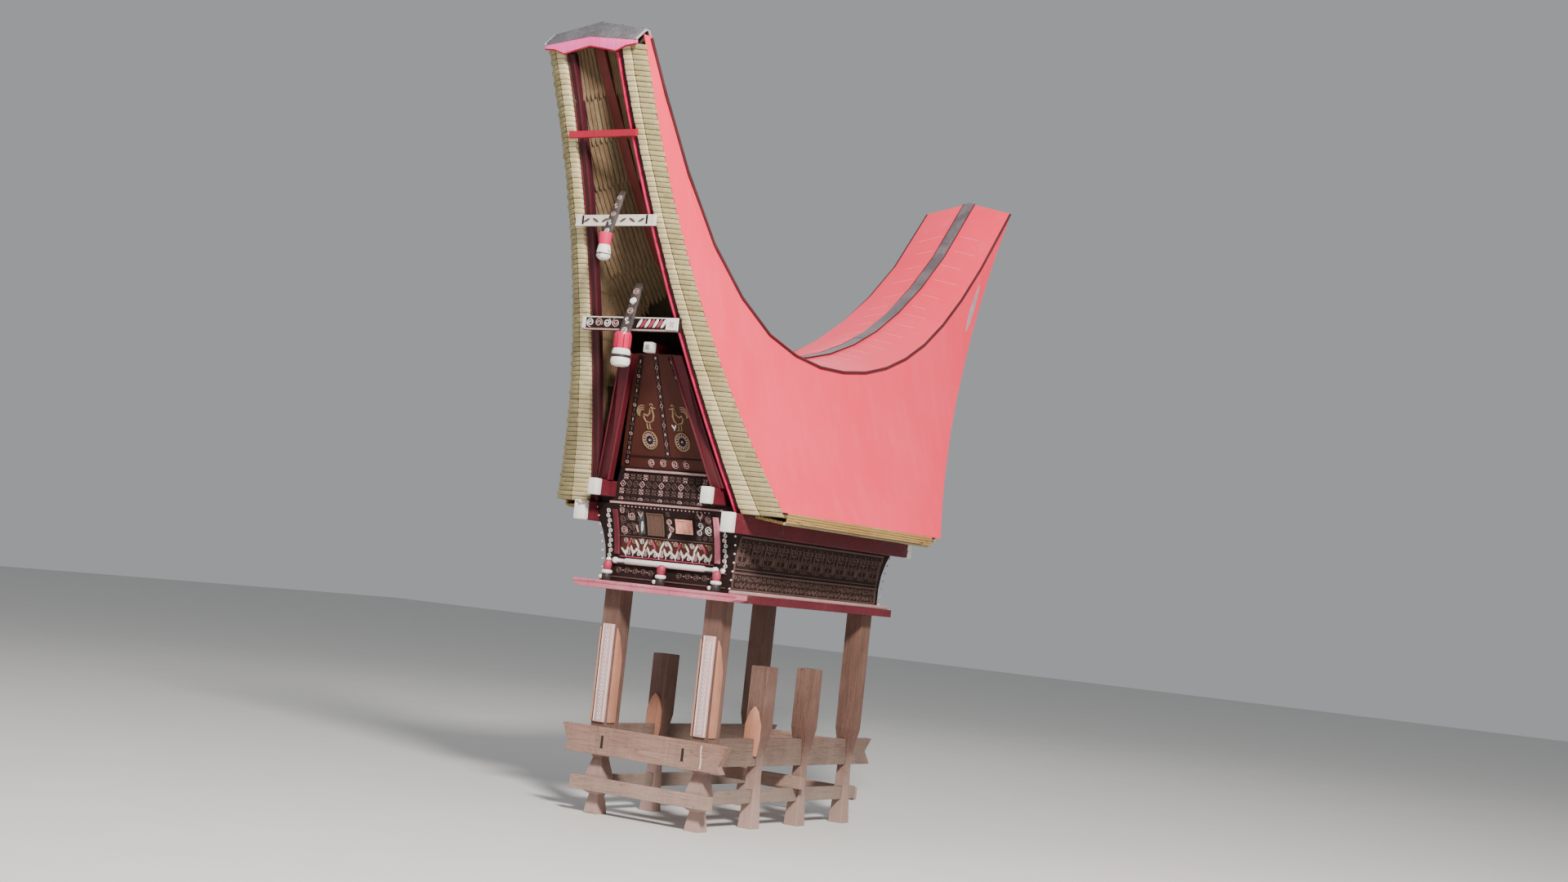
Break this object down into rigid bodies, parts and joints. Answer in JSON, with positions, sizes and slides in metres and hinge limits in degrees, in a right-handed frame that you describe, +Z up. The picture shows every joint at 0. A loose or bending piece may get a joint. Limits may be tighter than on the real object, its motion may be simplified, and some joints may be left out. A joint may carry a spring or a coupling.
{
  "type": "small tongkonan-shaped house bier",
  "caption": "Small tongkonan-shaped house on posts: carved hollow box body, boat-shaped roof with raised front and rear peaks, bamboo edge bands and sheet covering.",
  "frame": {"origin": "on the ground under the middle of the whole house, roof overhangs included", "axes": "+X to the house's right-hand side for someone who faces its front, +Y from the front towards the rear, +Z up"},
  "size_m": [1.7214, 4.848, 4.722],
  "materials": {
    "post_timber": "weathered bare hardwood",
    "board_timber": "weathered bare planks",
    "dark_red_paint": "dull dark red paint on timber",
    "pink_paint": "faded red paint on timber",
    "carved_timber": "carved timber painted black, red, white and ochre",
    "gable_paint": "red-brown painted gable boards",
    "roof_bamboo": "split bamboo in overlapping rows",
    "edge_bamboo": "pale stacked bamboo ends",
    "roof_paint": "satin red painted sheet",
    "grey_metal": "weathered grey sheet",
    "crimson_paint": "crimson gloss paint on timber",
    "white_paint": "white painted boards with dark carving",
    "neck_paint": "carved necks painted red, white and black"
  },
  "bodies": {
    "root": {"right_front_post": "post_timber", "left_front_post": "post_timber", "right_front_short_post": "post_timber", "left_front_short_post": "post_timber", "right_rear_short_post": "post_timber", "left_rear_short_post": "post_timber", "right_rear_post": "post_timber", "left_rear_post": "post_timber", "front_cross_board": "board_timber", "rear_cross_board": "board_timber", "right_side_board": "board_timber", "left_side_board": "board_timber", "front_lower_rail": "board_timber", "rear_lower_rail": "board_timber", "middle_lower_rail": "board_timber", "right_lower_rail": "board_timber", "left_lower_rail": "board_timber", "floor_board": "dark_red_paint", "front_plank": "pink_paint", "front_wall": "carved_timber", "rear_wall": "carved_timber", "right_wall": "carved_timber", "left_wall": "carved_timber", "left_shutter": "gable_paint", "right_shutter": "pink_paint", "right_wall_plate": "dark_red_paint", "left_wall_plate": "dark_red_paint", "right_upper_beam": "dark_red_paint", "left_upper_beam": "dark_red_paint", "ridge_beam": "dark_red_paint", "front_frieze": "carved_timber", "rear_frieze": "carved_timber", "front_gable": "gable_paint", "rear_gable": "gable_paint", "right_gable_strut": "dark_red_paint", "left_gable_strut": "dark_red_paint", "right_roof_bamboo": "roof_bamboo", "left_roof_bamboo": "roof_bamboo", "roof_top_bamboo": "roof_bamboo", "right_front_band": "edge_bamboo", "left_front_band": "edge_bamboo", "right_rear_band": "edge_bamboo", "left_rear_band": "edge_bamboo", "right_roof_sheet": "roof_paint", "left_roof_sheet": "roof_paint", "roof_top_sheet": "roof_paint", "ridge_strip": "grey_metal", "front_peak_cap": "grey_metal", "rear_peak_board": "crimson_paint", "right_front_barge": "crimson_paint", "left_front_barge": "crimson_paint", "right_rear_barge": "crimson_paint", "left_rear_barge": "crimson_paint", "front_top_tie": "crimson_paint", "rear_top_tie": "dark_red_paint", "front_middle_tie": "white_paint", "front_lower_tie": "white_paint", "rear_lower_tie": "dark_red_paint", "front_upper_neck": "neck_paint", "front_lower_neck": "neck_paint"}
  },
  "joints": []
}
